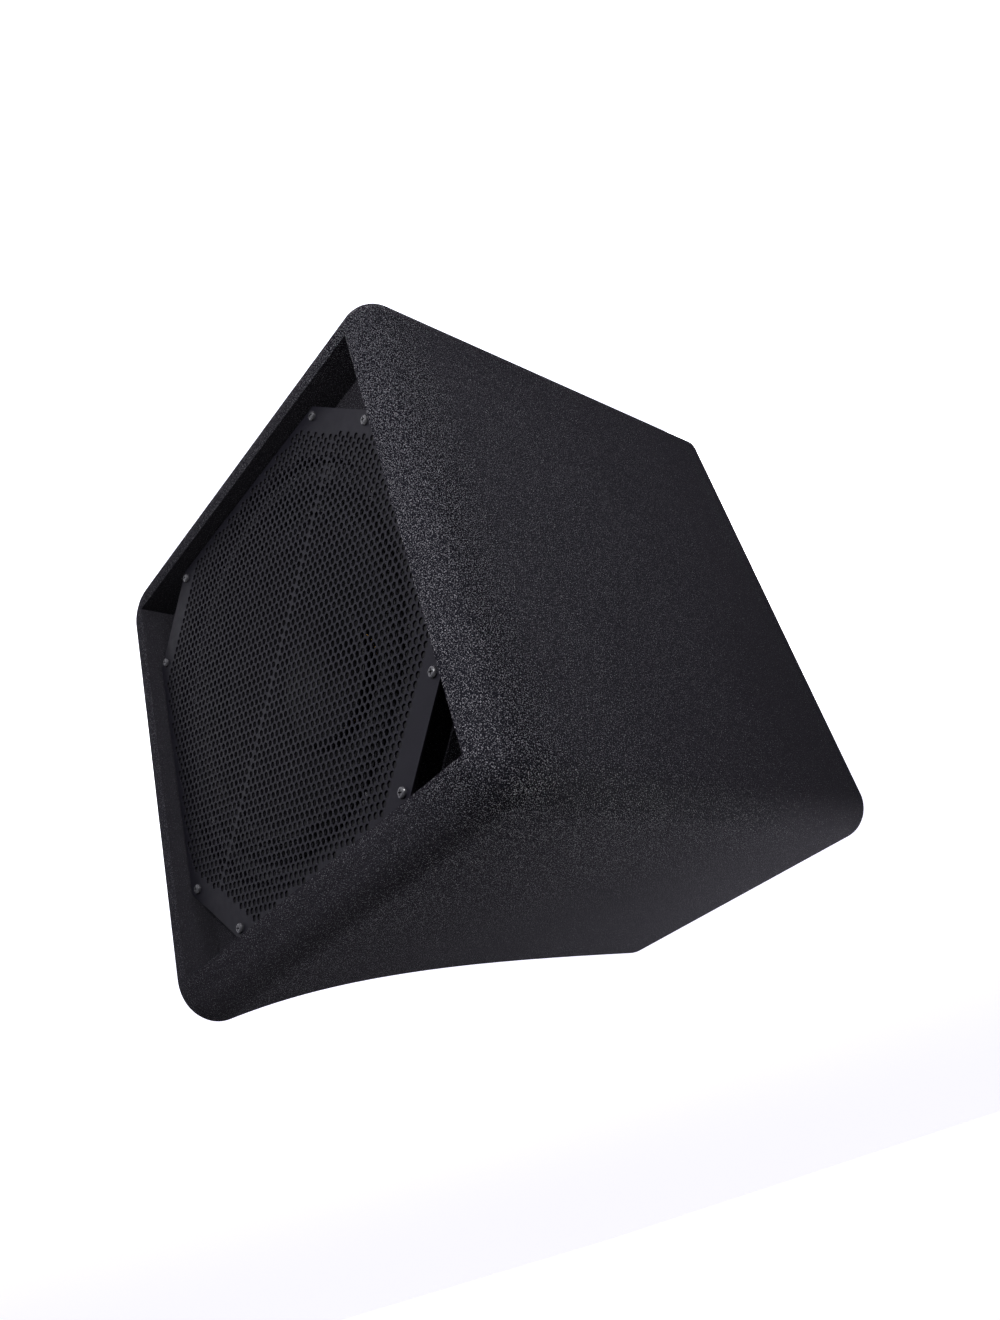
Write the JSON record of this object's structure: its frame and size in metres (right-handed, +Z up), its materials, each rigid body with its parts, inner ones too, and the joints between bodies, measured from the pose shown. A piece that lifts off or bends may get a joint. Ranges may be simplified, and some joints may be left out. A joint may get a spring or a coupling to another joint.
{
  "type": "pa speaker cabinet",
  "caption": "Compact near-cubic PA loudspeaker cabinet with a concave flared side wall, rounded edges and a recessed octagonal perforated grille over a coaxial driver.",
  "frame": {"origin": "centre of the bounding box's footprint, on the floor plane under the rubber feet", "axes": "+Z up; the mouth and grille face -Y; the concave side wall is on +X and the flat side wall on -X; the connector panel faces +Y"},
  "size_m": [0.3955, 0.3734, 0.4189],
  "materials": {
    "coating_flat": "textured satin",
    "coating_ends": "textured satin",
    "coating_curved": "textured satin",
    "coating_front": "textured satin",
    "panel_wood": "painted",
    "bare_wood": "raw",
    "grille_steel": "satin powder coat",
    "black_screw": "gloss",
    "zinc_steel": "satin",
    "cast_frame": "painted",
    "magnet_ferrite": "matte",
    "cone_paper": "matte",
    "doped_cloth": "doped",
    "former_film": "satin",
    "winding_copper": "enamelled",
    "horn_plastic": "satin",
    "dome_metal": "satin",
    "foam": "matte",
    "rubber_black": "matte",
    "board_laminate": "satin",
    "component_film": "gloss",
    "component_ceramic": "matte",
    "tray_steel": "satin",
    "socket_plastic": "satin",
    "switch_plastic": "gloss",
    "grip_rubber": "matte",
    "felt": "soft",
    "cable_jacket": "matte"
  },
  "bodies": {
    "cabinet": {"side_panel_flat": "coating_flat", "end_panel_top": "coating_ends", "end_panel_bottom": "coating_ends", "side_panel_curved": "coating_curved", "lip_rail": "coating_curved", "mouth_rail_top": "coating_front", "mouth_rail_bottom": "coating_front", "baffle": "coating_front", "grille_frame": "coating_front", "back_panel": "panel_wood", "cleat_flat": "bare_wood", "cleat_top": "bare_wood", "cleat_bottom": "bare_wood", "cleat_curved": "bare_wood", "port_board_flat": "panel_wood", "port_board_curved": "panel_wood", "corner_block_flat": "bare_wood", "corner_block_curved": "bare_wood", "grille": "grille_steel", "grille_gasket": "foam", "grille_screws": "black_screw", "grille_inserts": "zinc_steel", "basket": "cast_frame", "driver_gasket": "foam", "surround": "doped_cloth", "spider": "doped_cloth", "top_plate": "zinc_steel", "magnet": "magnet_ferrite", "back_plate": "zinc_steel", "hf_horn": "horn_plastic", "hf_body": "zinc_steel", "hf_cover": "cast_frame", "terminal_block": "horn_plastic", "driver_bolts": "black_screw", "driver_tnuts": "zinc_steel", "crossover_board": "board_laminate", "crossover_coils": "winding_copper", "crossover_capacitors": "component_film", "crossover_resistors": "component_ceramic", "board_stand_offs": "zinc_steel", "input_dish": "tray_steel", "input_sockets": "socket_plastic", "socket_screws": "black_screw", "switch_frame": "switch_plastic", "handle_cup": "tray_steel", "handle_grip": "grip_rubber", "tray_screws": "black_screw", "back_screws": "black_screw", "rubber_feet": "rubber_black", "foot_screws": "zinc_steel", "acoustic_lining": "felt", "internal_leads": "cable_jacket"},
    "cone_assembly": {"cone": "cone_paper", "coil_former": "former_film", "coil_winding": "winding_copper"},
    "dome_assembly": {"hf_diaphragm": "dome_metal"},
    "mode_rocker": {"switch_rocker": "switch_plastic"}
  },
  "joints": [
    {"name": "cone_slide", "type": "slide", "parent": "cabinet", "child": "cone_assembly", "axis": [0, -1, 0], "range_m": [-0.004, 0.004], "stiffness_N_per_m": 4000, "deforming": ["surround", "spider"]},
    {"name": "dome_slide", "type": "slide", "parent": "cabinet", "child": "dome_assembly", "axis": [0, -1, 0], "range_m": [-0.0004, 0.0004], "stiffness_N_per_m": 8000},
    {"name": "mode_switch", "type": "hinge", "parent": "cabinet", "child": "mode_rocker", "pos_m": [-0.05, 0.15995, 0.1527], "axis": [1, 0, 0], "range_deg": [-20, 0]}
  ]
}
